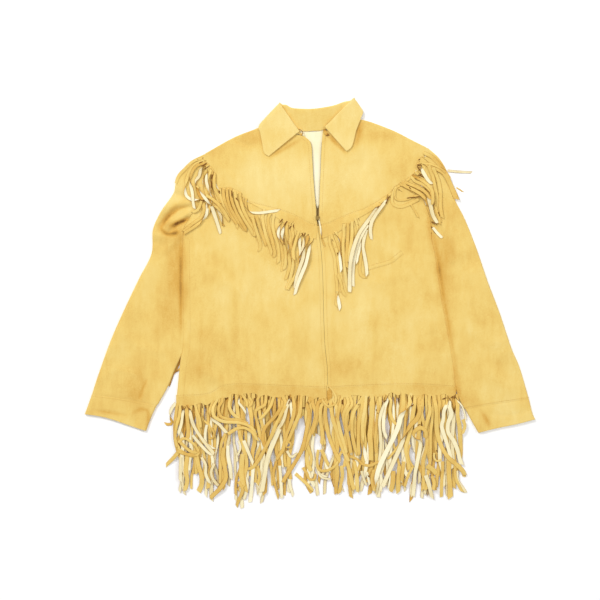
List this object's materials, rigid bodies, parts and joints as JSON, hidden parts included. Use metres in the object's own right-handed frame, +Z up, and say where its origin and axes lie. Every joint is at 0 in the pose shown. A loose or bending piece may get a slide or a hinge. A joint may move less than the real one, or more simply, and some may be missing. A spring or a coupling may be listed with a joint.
{
  "type": "fringed deerskin jacket",
  "caption": "Golden deerskin jacket laid flat, front up: pointed collar, zip front, V yoke and hem trimmed with long cut fringe, straight sleeves with cuffs.",
  "frame": {"origin": "on the surface the jacket lies on, under the middle of its outline", "axes": "+Y towards the collar, +X towards the wearer's left sleeve (right as seen from above), +Z up out of the front of the jacket"},
  "size_m": [0.99, 0.895, 0.0133],
  "materials": {
    "deerskin": "napped suede, matt",
    "deerskin_fringe": "napped suede, matt, cut in strips whose inner side is cream",
    "zip_tape": "woven cotton tape, matt",
    "zip_metal": "dull metal"
  },
  "bodies": {
    "root": {"back_panel": "deerskin", "front_left": "deerskin", "front_right": "deerskin", "front_yoke_left": "deerskin", "front_yoke_right": "deerskin", "sleeve_left": "deerskin", "sleeve_right": "deerskin", "cuff_left": "deerskin", "cuff_right": "deerskin", "collar": "deerskin", "pocket_welt": "deerskin", "hem_fringe_front_left": "deerskin_fringe", "hem_fringe_front_right": "deerskin_fringe", "hem_fringe_back": "deerskin_fringe", "yoke_fringe_left": "deerskin_fringe", "yoke_fringe_right": "deerskin_fringe", "back_fringe_upper": "deerskin_fringe", "back_fringe_lower": "deerskin_fringe", "sleeve_fringe_left": "deerskin_fringe", "zip_pull": "deerskin_fringe", "zip_tape_left": "zip_tape", "zip_tape_right": "zip_tape", "zip_slider": "zip_metal"}
  },
  "joints": []
}
